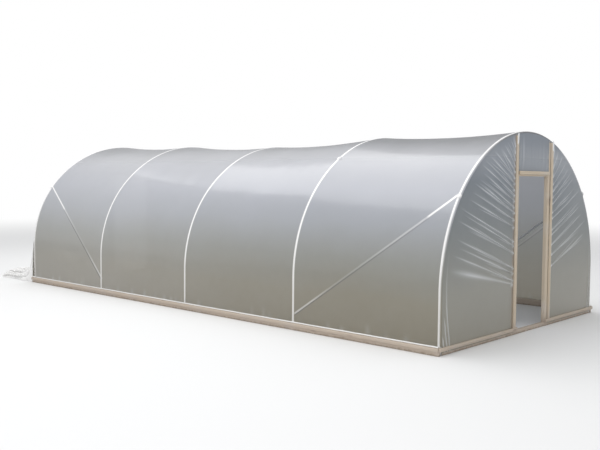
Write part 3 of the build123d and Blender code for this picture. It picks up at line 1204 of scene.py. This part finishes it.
@dataclass
class TransomSheet:
    """The small film over the doorway, stretched between the posts, the header and the crown."""

    tunnel: Tunnel
    film: Dressing
    end: End
    rows: int = 40
    columns: int = 60
    crease_rise: float = 0.004

    def build(self) -> None:
        """Lays the sheet over the doorway."""
        tunnel = self.tunnel
        low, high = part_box(self.end.node("transom_film"))
        layer = (low.x + high.x) / 2
        start_x = tunnel.places[self.end.hoop] + self.end.value * tunnel.bearing

        def place(first: int, second: int) -> Laid:
            """Gives one point of the sheet.

            Args:
                first: Its count across the doorway.
                second: Its count upwards.

            Returns:
                Its place, contact and fold.
            """
            across, step = first / self.columns, second / self.rows
            y = low.y + (high.y - low.y) * across
            crease = noise.noise(Vector((y * 26, step * 0.7, 2.0))) * math.sin(math.pi * step)
            side = smooth(abs(across - 0.5), 0.2, 0.5)
            out = self.crease_rise * crease * (0.4 + side)
            x = layer + (start_x - layer) * smooth(step, 0.93, 1.0) + self.end.value * out
            return Vector((x, y, low.z + (tunnel.crown_at(y) - low.z) * step)), 0.0, max(crease, 0.0) * 0.5 * side

        piece = lay(self.end.node("transom_sheet"), (self.columns, self.rows), place,
                    lambda centre: self.end.facing, self.film, self.end.node("transom_film"))
        self.end.node("header")


@dataclass
class FilmTab:
    """The end of the film that is folded over the top of a post's batten."""

    tunnel: Tunnel
    film: Dressing
    end: End
    hand: Hand
    width: float = 0.042
    length: float = 0.115
    lift: float = 0.0016
    pucker: float = 0.005
    ragged: float = 0.018
    tapering: float = 0.25
    past_edge: float = 0.003
    contact: float = 0.75
    fold: float = 0.9
    columns: int = 24
    rows: int = 48

    def build(self) -> None:
        """Lays the tab over the batten."""
        sign = self.hand.value
        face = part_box(self.end.node("battens"))[0 if self.end is End.REAR else 1].x
        edge = self.hand.outer(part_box(self.end.node("post", self.hand)))

        def place(first: int, second: int) -> Laid:
            """Gives one point of the tab.

            Args:
                first: Its count across the batten.
                second: Its count downwards.

            Returns:
                Its place, contact and fold.
            """
            across, down = first / self.columns, second / self.rows
            y = edge - sign * (self.width * across * (1 - self.tapering * down) - self.past_edge)
            end = self.ragged * noise.noise(Vector((across * 3.0, 4.0, float(sign)))) * down
            pucker = abs(noise.noise(Vector((across * 6.0, down * 1.6, 2.0 * sign))))
            out = self.lift + self.pucker * pucker * (0.4 + 0.6 * math.sin(math.pi * across))
            top = self.tunnel.crown_at(y, self.tunnel.tube_radius * 0.6)
            spot = Vector((face + self.end.value * out, y, top - self.length * down + end))
            return spot, self.contact, self.fold

        piece = lay(self.end.node("film_tab", self.hand), (self.columns, self.rows), place,
                    lambda centre: self.end.facing, self.film)
        self.end.node("post", self.hand)


@dataclass
class SpareFilm:
    """The tail of the cover behind the rear gable: a flare at the hoop's foot that ends as a roll on the ground."""

    film: Dressing
    columns: int = 170
    rows: int = 150
    profile: tuple[tuple[float, float, float], ...] = (
        (0.0, 0.11, 0.74), (0.05, 0.14, 0.52), (0.11, 0.19, 0.33), (0.20, 0.27, 0.22), (0.40, 0.36, 0.185),
        (0.66, 0.40, 0.18), (0.84, 0.38, 0.16), (0.95, 0.31, 0.13), (1.02, 0.22, 0.085), (1.07, 0.10, 0.035),
        (1.09, 0.01, 0.004),
    )
    folds: int = 6
    fold_depth: float = 0.15
    overhang: float = 0.055
    inward: float = 0.02
    drift: float = 0.05
    softness: float = 0.10
    crinkling: float = 0.10
    lift: float = 0.0015
    lowest: float = 0.001
    shortfall: float = 0.07
    flat: tuple[float, float] = (1.3, 1.2)
    most_area: float = 1.55

    def size_at(self, reach: float) -> tuple[float, float]:
        """Reads the tail's profile.

        Args:
            reach: The distance behind the gable.

        Returns:
            The tail's width and height there.
        """
        for (start, wide, high), (stop, next_wide, next_high) in zip(self.profile, self.profile[1:]):
            if reach <= stop:
                share = (reach - start) / (stop - start)
                return wide + (next_wide - wide) * share, high + (next_high - high) * share
        return self.profile[-1][1:]

    def build(self) -> None:
        """Lays the rumpled tail over its solid."""
        low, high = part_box("spare_film")
        length = self.profile[-1][0]

        def place(first: int, second: int) -> Laid:
            """Gives one point of the tail.

            Args:
                first: Its count away from the gable.
                second: Its count over the roll.

            Returns:
                Its place, contact and fold.
            """
            back = (first / self.columns) ** 1.25
            turn = math.pi * second / self.rows
            width, height = self.size_at(back * length)
            lean = turn + 0.42 * noise.noise(Vector((back * 4.0, turn * 1.6, 2.0))) * math.sin(turn)
            wave = math.sin(2 * self.folds * lean + 2.6 * math.sin(3.1 * back) + 2.0 * back)
            crest = 1 - abs(wave) ** 1.5 * (1 if wave < 0 else 0.35)
            soft = noise.noise(Vector((back * 6.0, turn * 2.2, 4.0)))
            crinkle = abs(noise.noise(Vector((back * 15.0, turn * 5.0, 7.0))))
            swell = 1 + self.fold_depth * (crest - 0.7) * (0.35 + 0.65 * smooth(back, 0.0, 0.3))
            swell += self.softness * soft - self.crinkling * crinkle
            x = high.x - (high.x - low.x - self.shortfall) * back + 0.012 * soft * math.sin(math.pi * back)
            y = low.y - self.overhang * smooth(back, 0.0, 0.35) + self.inward
            y += self.drift * math.sin(2.6 * back) * back
            y += width / 2 - math.cos(turn) * width / 2 * swell
            z = max(math.sin(turn), 0.0) ** 0.62 * height * swell + self.lift
            # Painted light: contact and fold whiten the whole tail, most on the fold crests as a painted highlight,
            # less in the troughs as painted shade; partly this is the bunched film's own whiteness.
            fold = 0.50 + 0.35 * crest * smooth(back, 0.0, 0.2) + 0.3 * max(0.0, 0.25 - crinkle)
            return Vector((x, y, max(z, self.lowest))), 0.5 + 0.45 * crest, min(fold, 0.95)

        piece = lay("spare_film_tail", (self.columns, self.rows), place, lambda centre: Vector((0, 0, 1)),
                    self.film, "spare_film")


@dataclass
class ArchSweep:
    """Sweeps a small section along one hoop with spins: up the leg, round both haunches and the crown, and down."""

    tunnel: Tunnel
    haunch_steps: int = 14
    crown_steps: int = 30

    def sweep(self, hoop: int, section: list[tuple[float, float]], foot: float) -> bmesh.types.BMesh:
        """Makes the swept piece.

        Args:
            hoop: The hoop's index, from the front.
            section: The points of its closed section, as distances along X and outwards from the centre line.
            foot: The height at which it starts and ends.

        Returns:
            The swept piece.
        """
        tunnel = self.tunnel
        place = tunnel.places[hoop]
        spring = tunnel.leg_height - tunnel.drops[hoop]
        made = bmesh.new()
        points = [made.verts.new((place + x, -tunnel.half_axis - out, foot)) for x, out in section]
        last = [made.edges.new(pair) for pair in zip(points, points[1:] + points[:1])]
        made.faces.new(points)
        last = self._lift(made, last, spring - foot)
        for y, z, turn, steps in (
            (-tunnel.haunch_side, spring, tunnel.haunch_turn, self.haunch_steps),
            (0.0, spring - tunnel.crown_fall, 2 * tunnel.crown_turn, self.crown_steps),
            (tunnel.haunch_side, spring, tunnel.haunch_turn, self.haunch_steps),
        ):
            last = self._spin(made, last, (0, y, z), turn, steps)
        last = self._lift(made, last, foot - spring)
        bmesh.ops.contextual_create(made, geom=last)
        bmesh.ops.recalc_face_normals(made, faces=made.faces)
        return made

    @staticmethod
    def _lift(made: bmesh.types.BMesh, edges: list[bmesh.types.BMEdge], height: float) -> list[bmesh.types.BMEdge]:
        """Extrudes the section straight up or down.

        Args:
            made: The bmesh.
            edges: The section's edges.
            height: How far it goes up, or down where that is negative.

        Returns:
            The section's new edges.
        """
        grown = bmesh.ops.extrude_edge_only(made, edges=edges)["geom"]
        points = [item for item in grown if isinstance(item, bmesh.types.BMVert)]
        bmesh.ops.translate(made, verts=points, vec=(0, 0, height))
        return [item for item in grown if isinstance(item, bmesh.types.BMEdge)]

    @staticmethod
    def _spin(made: bmesh.types.BMesh, edges: list[bmesh.types.BMEdge], centre: tuple[float, float, float],
              turn: float, steps: int) -> list[bmesh.types.BMEdge]:
        """Spins the section round a line along X.

        Args:
            made: The bmesh.
            edges: The section's edges.
            centre: A place on the line.
            turn: How far it turns.
            steps: In how many steps.

        Returns:
            The section's new edges.
        """
        points = list({point for edge in edges for point in edge.verts})
        spun = bmesh.ops.spin(
            made, geom=points + edges, cent=centre, axis=(1, 0, 0), dvec=(0, 0, 0),
            angle=-turn, steps=steps, use_merge=False, use_duplicate=False,
        )["geom_last"]
        return [item for item in spun if isinstance(item, bmesh.types.BMEdge)]


@dataclass
class Hoops:
    """The five bent tubes, and the foam tape on the side that the film bears on."""

    tunnel: Tunnel
    tube: Dressing
    tape: Dressing
    tube_sides: int = 20
    tape_turn: float = math.radians(150)
    tape_sides: int = 8
    tape_foot: float = 0.10
    tape_gap: float = 0.0002

    def build(self) -> None:
        """Makes every hoop and its tape."""
        sweep = ArchSweep(self.tunnel)
        radius = self.tunnel.tube_radius
        inner = radius + self.tape_gap
        outer = radius + self.tunnel.tape_thickness - self.tape_gap
        whole = [2 * math.pi * n / self.tube_sides for n in range(self.tube_sides)]
        part = [self.tape_turn * (n / self.tape_sides - 0.5) for n in range(self.tape_sides + 1)]
        ring = [(radius * math.cos(turn), radius * math.sin(turn)) for turn in whole]
        band = [(inner * math.sin(turn), inner * math.cos(turn)) for turn in part]
        band += [(outer * math.sin(turn), outer * math.cos(turn)) for turn in reversed(part)]
        for hoop in range(self.tunnel.hoop_count):
            settle(f"hoop_tube_{hoop + 1}", sweep.sweep(hoop, ring, 0.0), self.tube, f"hoop_{hoop + 1}")
            settle(f"hoop_tape_{hoop + 1}", sweep.sweep(hoop, band, self.tape_foot), self.tape)


def facing_along(direction: Vector, place: Vector) -> Matrix:
    """The matrix that turns a piece's own Z along a direction and moves it to a place."""
    return Matrix.Translation(place) @ direction.to_track_quat("Z", "Y").to_matrix().to_4x4()


@dataclass
class Braces:
    """The four diagonal braces: the white tape on their upper parts, and the painted highlight and painted shade by
    which they show on the film.
    """

    bar_radius: float = 0.0125
    thickness: float = 0.0022
    lengths: dict[End, float] = field(default_factory=lambda: {End.FRONT: 0.37, End.REAR: 0.76})
    slants: dict[End, Vector] = field(default_factory=lambda: {
        End.FRONT: Vector((0.766, 1.0, 0.117)), End.REAR: Vector((1.63, 1.0, 0.117)),
    })
    pressed: Vector = field(default_factory=lambda: Vector((0, 0.045, 0.03)))
    foot_pressed: float = 0.3
    sides: int = 20
    tape_start: float = 0.045

    @staticmethod
    def corners(end: End, hand: Hand) -> Box:
        """Finds the two corners of a brace's box between which the bar runs.

        Args:
            end: The brace's end of the tunnel.
            hand: The brace's side.

        Returns:
            The corner at the bar's top and the one at its foot.
        """
        low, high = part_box(f"brace_{end.node(hand.word)}")
        near, far = (high.x, low.x) if end is End.FRONT else (low.x, high.x)
        inner, outer = sorted((abs(low.y), abs(high.y)))
        return Vector((near, hand.value * inner, high.z)), Vector((far, hand.value * outer, low.z))

    def inset(self, top: Vector, foot: Vector) -> Vector:
        """From the corner of a brace's box to the middle of the bar's end."""
        parts = [(step, math.sqrt(1 - part * part)) for step, part in zip(foot - top, (foot - top).normalized())]
        return Vector([math.copysign(self.bar_radius * size, step) for step, size in parts])

    def struts(self) -> tuple[Strut, ...]:
        """Gives the braces as the film's finish needs them.

        Returns:
            One strut for each end, on the right side.
        """
        found = []
        for end in End:
            top, foot = self.corners(end, Hand.RIGHT)
            inset = self.inset(top, foot)
            start, stop = top + inset + self.pressed, foot - inset + self.pressed * self.foot_pressed
            found.append(Strut(start, stop, self.slants[end], self.lengths[end]))
        return tuple(found)

    def build(self, tape: Dressing) -> None:
        """Wraps the tape round every brace.

        Args:
            tape: What it wears.
        """
        for end in End:
            for hand in Hand:
                top, foot = self.corners(end, hand)
                line = (foot - top).normalized()
                length = self.lengths[end] - self.tape_start
                middle = top + self.inset(top, foot) + line * (self.tape_start + length / 2)
                radius = self.bar_radius + self.thickness
                sleeve = bmesh.new()
                bmesh.ops.create_cone(
                    sleeve, cap_ends=True, segments=self.sides, radius1=radius, radius2=radius, depth=length,
                    matrix=facing_along(line, middle),
                )
                settle(f"brace_tape_{end.node(hand.word)}", sleeve, tape)


@dataclass
class Board:
    """One sawn board: eased edges, a slight bow, and a UV map in metres whose U runs along the grain."""

    name: str
    low: Vector
    high: Vector
    nodes: tuple[str, ...] = ()
    arch_top: Callable[[float], float] | None = None
    ease: float = 0.0016
    bow: float = 0.0012
    bow_step: float = 0.3
    log_size: float = 20.0
    end_grain: float = 0.2
    face_shift: float = 0.37

    @classmethod
    def like(cls, node: str, arch_top: Callable[[float], float] | None = None) -> "Board":
        """A board that takes the place of a node."""
        return cls(f"{node}_board", *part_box(node), (node,), arch_top)

    @property
    def grain(self) -> int:
        """The axis along which the board is longest."""
        return max(range(3), key=lambda axis: (self.high - self.low)[axis])

    def mesh(self, dice: random.Random) -> bmesh.types.BMesh:
        """Shapes the board.

        Args:
            dice: Where the board's bow and its place in the timber's grain come from.

        Returns:
            The finished board.
        """
        made = bmesh.new()
        bmesh.ops.create_cube(made, size=1.0)
        bmesh.ops.scale(made, vec=self.high - self.low, verts=made.verts)
        bmesh.ops.translate(made, vec=(self.low + self.high) / 2, verts=made.verts)
        if self.arch_top:
            self._cut_top(made)
        bmesh.ops.bevel(
            made, geom=list(made.edges), offset=self.ease, offset_type="OFFSET", affect="EDGES", segments=2,
            profile=0.5, material=-1, clamp_overlap=True,
        )
        self._divide(made)
        self._warp(made, dice.uniform(0, 50))
        self._unwrap(made, (dice.uniform(0, self.log_size), dice.uniform(0, self.log_size)))
        return made

    def _cut_top(self, made: bmesh.types.BMesh) -> None:
        """Saws the top of an upright board to the slope of the arch over it.

        Args:
            made: The board's bmesh.
        """
        left, right = (Vector((0, corner.y, self.arch_top(corner.y))) for corner in (self.low, self.high))
        normal = Vector((1, 0, 0)).cross((right - left).normalized())
        bmesh.ops.bisect_plane(
            made, geom=[*made.verts, *made.edges, *made.faces], plane_co=left,
            plane_no=normal if normal.z > 0 else -normal, clear_outer=True,
        )
        bmesh.ops.holes_fill(made, edges=[edge for edge in made.edges if edge.is_boundary])

    def _divide(self, made: bmesh.types.BMesh) -> None:
        """Cuts rings round the board every few decimetres, so that it can bow.

        Args:
            made: The board's bmesh.
        """
        axis = self.grain
        place = self.low[axis] + self.bow_step
        normal = Vector([1.0 if index == axis else 0.0 for index in range(3)])
        while place < self.high[axis] - self.bow_step / 2:
            bmesh.ops.bisect_plane(
                made, geom=[*made.verts, *made.edges, *made.faces], plane_co=normal * place, plane_no=normal
            )
            place += self.bow_step

    def _warp(self, made: bmesh.types.BMesh, seed: float) -> None:
        """Bows the board a little across its grain, less at its ends.

        Args:
            made: The board's bmesh.
            seed: What tells this board's bow from the others'.
        """
        axis = self.grain
        length = self.high[axis] - self.low[axis]
        for point in made.verts:
            share = (point.co[axis] - self.low[axis]) / length
            amount = self.bow * math.sin(math.pi * min(max(share, 0.0), 1.0))
            for other in {1, 2} - {axis}:
                point.co[other] += amount * noise.noise(Vector((share * length * 0.8, other, seed)))

    def _unwrap(self, made: bmesh.types.BMesh, shift: tuple[float, float]) -> None:
        """Gives each face its place on the timber, in metres.

        Args:
            made: The board's bmesh.
            shift: Where on the timber the board is cut from.
        """
        axis = self.grain
        layer = made.loops.layers.uv.new("grain")
        made.normal_update()
        for face in made.faces:
            facing = max(range(3), key=lambda index: abs(face.normal[index]))
            rest = [index for index in range(3) if index not in (axis, facing)]
            for loop in face.loops:
                spot = loop.vert.co
                along = spot[axis] if facing != axis else spot[rest[-1]] * self.end_grain
                loop[layer].uv = (along + shift[0], spot[rest[0]] + shift[1] + self.face_shift * facing)


@dataclass
class Timber:
    """All the sawn timber: base rails, battens, door frames, and the nails in them."""

    tunnel: Tunnel
    wood: Dressing
    steel: Dressing
    seed: int = 21
    nail_step: float = 0.33
    nail_radius: float = 0.0042
    nail_depth: float = 0.0016
    nail_lift: float = 0.0006
    nail_dome: float = 0.6
    nail_sides: int = 10
    nail_drift: tuple[float, float] = (0.02, 0.006)
    batten_gap: float = 0.001

    def post_top(self, y: float) -> float:
        """The height of the inner side of an end hoop at a distance across the tunnel."""
        return self.tunnel.crown_at(y, -self.tunnel.tube_radius)

    def boards(self) -> list[Board]:
        """Lists the boards that take the place of a node each.

        Returns:
            The boards, in the order in which they are made.
        """
        found = []
        for hand in Hand:
            for end in End:
                found.append(Board.like(f"side_rail_{hand.word}_{end.name.lower()}"))
                found.append(Board.like(end.node("rail", hand)))
                found.append(Board.like(end.node("post", hand), self.post_top))
            found.append(Board.like(f"side_batten_{hand.word}"))
        for end in End:
            found += [Board.like(end.node("header")), Board.like(end.node("threshold"))]
        return found

    def gable_battens(self, end: End) -> list[Board]:
        """Lists the battens of one gable: two at the foot, two on the posts and one on the header.

        Args:
            end: The gable.

        Returns:
            The five battens. The first takes the place of the gable's node.
        """
        low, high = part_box(end.node("battens"))
        left, right = (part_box(end.node("post", hand)) for hand in Hand)
        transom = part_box(end.node("transom_film"))
        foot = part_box("side_batten_left")
        width = foot[1].z - foot[0].z
        start = foot[1].z + self.batten_gap
        return [
            Board(name, Vector((low.x, y_low, z_low)), Vector((high.x, y_high, z_high)), nodes, top)
            for name, y_low, y_high, z_low, z_high, nodes, top in (
                (end.node("foot_batten_left"), low.y, left[1].y, low.z, foot[1].z, (end.node("battens"),), None),
                (end.node("foot_batten_right"), right[0].y, high.y, low.z, foot[1].z, (), None),
                (end.node("post_batten_left"), left[0].y, left[0].y + width, start, high.z, (), self.post_top),
                (end.node("post_batten_right"), right[1].y - width, right[1].y, start, high.z, (), self.post_top),
                (end.node("header_batten"), transom[0].y, transom[1].y, transom[0].z, transom[0].z + width,
                 (), None),
            )
        ]

    def build(self) -> None:
        """Makes every board, then the nails."""
        dice = random.Random(self.seed)
        self.saw(self.boards(), dice)
        for end in End:
            battens = self.gable_battens(end)
            self.saw(battens, dice)
            self.nail(end.node("batten_nails"), battens, end.facing, dice)
        for hand in Hand:
            batten = Board.like(f"side_batten_{hand.word}")
            self.nail(f"side_batten_nails_{hand.word}", [batten], Vector((0, hand.value, 0)), dice)

    def saw(self, boards: list[Board], dice: random.Random) -> None:
        """Makes pieces of some boards, one after the other."""
        for board in boards:
            settle(board.name, board.mesh(dice), self.wood, *board.nodes)

    def nail(self, name: str, boards: list[Board], outward: Vector, dice: random.Random) -> None:
        """Drives nails along the middle of some battens.

        Args:
            name: The name of the piece that holds all their heads.
            boards: The battens.
            outward: The direction in which their faces look.
            dice: What makes the nails stand unevenly.
        """
        made = bmesh.new()
        for board in boards:
            axis = board.grain
            across = 1 if axis == 2 else 2
            length = board.high[axis] - board.low[axis]
            face = (board.low + board.high) / 2 + outward * abs(outward.dot(board.high - board.low)) / 2
            count = max(2, round(length / self.nail_step))
            for number in range(count):
                spot = face.copy()
                spot[axis] = board.low[axis] + length * (number + 0.5) / count
                for way, drift in zip((axis, across), self.nail_drift):
                    spot[way] += dice.uniform(-drift, drift)
                bmesh.ops.create_cone(
                    made, cap_ends=True, segments=self.nail_sides, radius1=self.nail_radius,
                    radius2=self.nail_radius * self.nail_dome, depth=self.nail_depth,
                    matrix=facing_along(outward, spot + outward * self.nail_lift),
                )
        settle(name, made, self.steel)


@dataclass(frozen=True)
class Lamp:
    """One large soft lamp: where it hangs, what it points at, its two sides in metres and its power in watts."""

    name: str
    place: tuple[float, float, float]
    target: tuple[float, float, float]
    size: tuple[float, float]
    power: float

    def hang(self) -> None:
        """Adds the lamp to the scene."""
        data = bpy.data.lights.new(self.name, "AREA")
        data.shape = "RECTANGLE"
        data.size, data.size_y = self.size
        data.energy = self.power
        lamp = bpy.data.objects.new(self.name, data)
        lamp.location = self.place
        lamp.rotation_euler = (Vector(self.target) - lamp.location).to_track_quat("-Z", "Y").to_euler()
        bpy.context.scene.collection.objects.link(lamp)


@dataclass
class Studio:
    """The floor, the soft lights, the white surroundings and the camera."""

    tunnel: Tunnel
    lamps: tuple[Lamp, ...] = (
        Lamp("overhead_panel", (-1.2, -1.0, 9.0), (-0.6, 0.0, 1.2), (13.0, 8.0), 600),
        Lamp("near_panel", (7.0, -11.5, 6.0), (0.0, 0.0, 1.0), (11.0, 7.0), 360),
    )
    floor_tone: float = 0.80
    floor_size: float = 60.0
    floor_fade: tuple[float, float] = (9.0, 26.0)
    surround: float = 0.72
    camera_reach: tuple[float, float, float] = (4.213, -8.450, 1.742)
    yaw: float = math.radians(-42.723)
    pitch: float = math.radians(-3.258)
    roll: float = math.radians(0.396)
    lens: float = 46.86
    sensor: float = 36.0

    def build(self) -> None:
        """Sets up everything round the part."""
        self.floor()
        self.world()
        for lamp in self.lamps:
            lamp.hang()
        self.camera()
        bpy.context.scene.view_settings.view_transform = "Standard"

    def floor(self) -> None:
        """Lays the plain pale floor, which fades to the background's white far away."""
        graph = Graph(bpy.data.materials.new("studio_floor"))
        reach = graph.node("ShaderNodeVectorMath", {"operation": "LENGTH"}, {0: graph.place()}, output=1)
        plain = graph.surface(Base_Color=grey(self.floor_tone), Roughness=0.9)
        white = graph.node("ShaderNodeEmission", values={"Color": grey(1.0), "Strength": 1.0})
        seen = graph.node("ShaderNodeLightPath", output="Is Camera Ray")
        material = graph.finish(graph.mix(reach.between(*self.floor_fade) * seen, plain, white))
        made = bmesh.new()
        bmesh.ops.create_grid(made, x_segments=1, y_segments=1, size=self.floor_size)
        new_object("studio_floor", made, material)

    def world(self) -> None:
        """Surrounds the part with soft light that looks white to the camera, in reflections and through film."""
        world = bpy.data.worlds.new("soft_surround")
        bpy.context.scene.world = world
        graph = Graph(world)
        camera, glossy, transmission = (
            graph.node("ShaderNodeLightPath", output=f"Is {ray} Ray") for ray in ("Camera", "Glossy", "Transmission")
        )
        light = graph.node("ShaderNodeBackground", values={"Color": grey(1.0, -0.01), "Strength": self.surround})
        white = graph.node("ShaderNodeBackground", values={"Color": grey(1.0)})
        graph.finish(graph.mix(camera.larger(glossy).larger(transmission), light, white))

    def camera(self) -> None:
        """Puts the camera where the photograph was taken."""
        data = bpy.data.cameras.new("camera")
        data.lens = self.lens
        data.sensor_width = self.sensor
        data.sensor_fit = "HORIZONTAL"
        camera = bpy.data.objects.new("camera", data)
        bpy.context.scene.collection.objects.link(camera)
        forward = Vector((
            math.sin(self.yaw) * math.cos(self.pitch), math.cos(self.yaw) * math.cos(self.pitch), math.sin(self.pitch)
        ))
        level = Vector((math.cos(self.yaw), -math.sin(self.yaw), 0.0))
        rise = level.cross(forward)
        right = math.cos(self.roll) * level + math.sin(self.roll) * rise
        up = -math.sin(self.roll) * level + math.cos(self.roll) * rise
        turn = Matrix((right, up, -forward)).transposed().to_4x4()
        place = Vector(self.camera_reach) + Vector((self.tunnel.places[0], 0, 0))
        camera.matrix_world = Matrix.Translation(place) @ turn
        bpy.context.scene.camera = camera


def clear_start() -> None:
    """Deletes the objects that an empty file starts with."""
    for name in ("Cube", "Light", "Camera"):
        leftover = bpy.data.objects.get(name)
        if leftover and name not in frame["nodes"]:
            bpy.data.objects.remove(leftover)


def dress_nodes(*dressings: Dressing) -> None:
    """Gives every CAD node that stays the material of its slot.

    Args:
        *dressings: One dressing for each slot.
    """
    materials = {dressing.slot.value: dressing.material for dressing in dressings}
    for subpart in frame["record"]["subparts"]:
        node = frame["nodes"][subpart["node"]]
        node.data.materials.clear()
        node.data.materials.append(materials[subpart["material_slot"]])


def main() -> None:
    """Builds the tunnel's looks piece by piece."""
    clear_start()
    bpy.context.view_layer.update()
    tunnel = Tunnel()
    braces = Braces()
    posts = tuple(hand.outer(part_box(End.FRONT.node("post", hand))) for hand in Hand)
    film = FilmFinish(struts=braces.struts()).build()
    gable_film = FilmFinish("gable_film", tints=GABLE_TINTS, glows=GABLE_GLOWS, posts=posts).build()
    wood, tube, clip, tape = (finish().build() for finish in (TimberFinish, TubeFinish, ClipFinish, TapeFinish))
    dress_nodes(film, wood, tube, clip)
    Hoops(tunnel, tube, tape).build()
    braces.build(tape)
    Timber(tunnel, wood, clip).build()
    Cover(tunnel, film).build()
    for end in End:
        for hand in Hand:
            GableSheet(tunnel, gable_film, end, hand).build()
            FilmTab(tunnel, gable_film, end, hand).build()
        TransomSheet(tunnel, gable_film, end).build()
    SpareFilm(film).build()
    Studio(tunnel).build()
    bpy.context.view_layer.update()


if __name__ == "__main__":
    main()
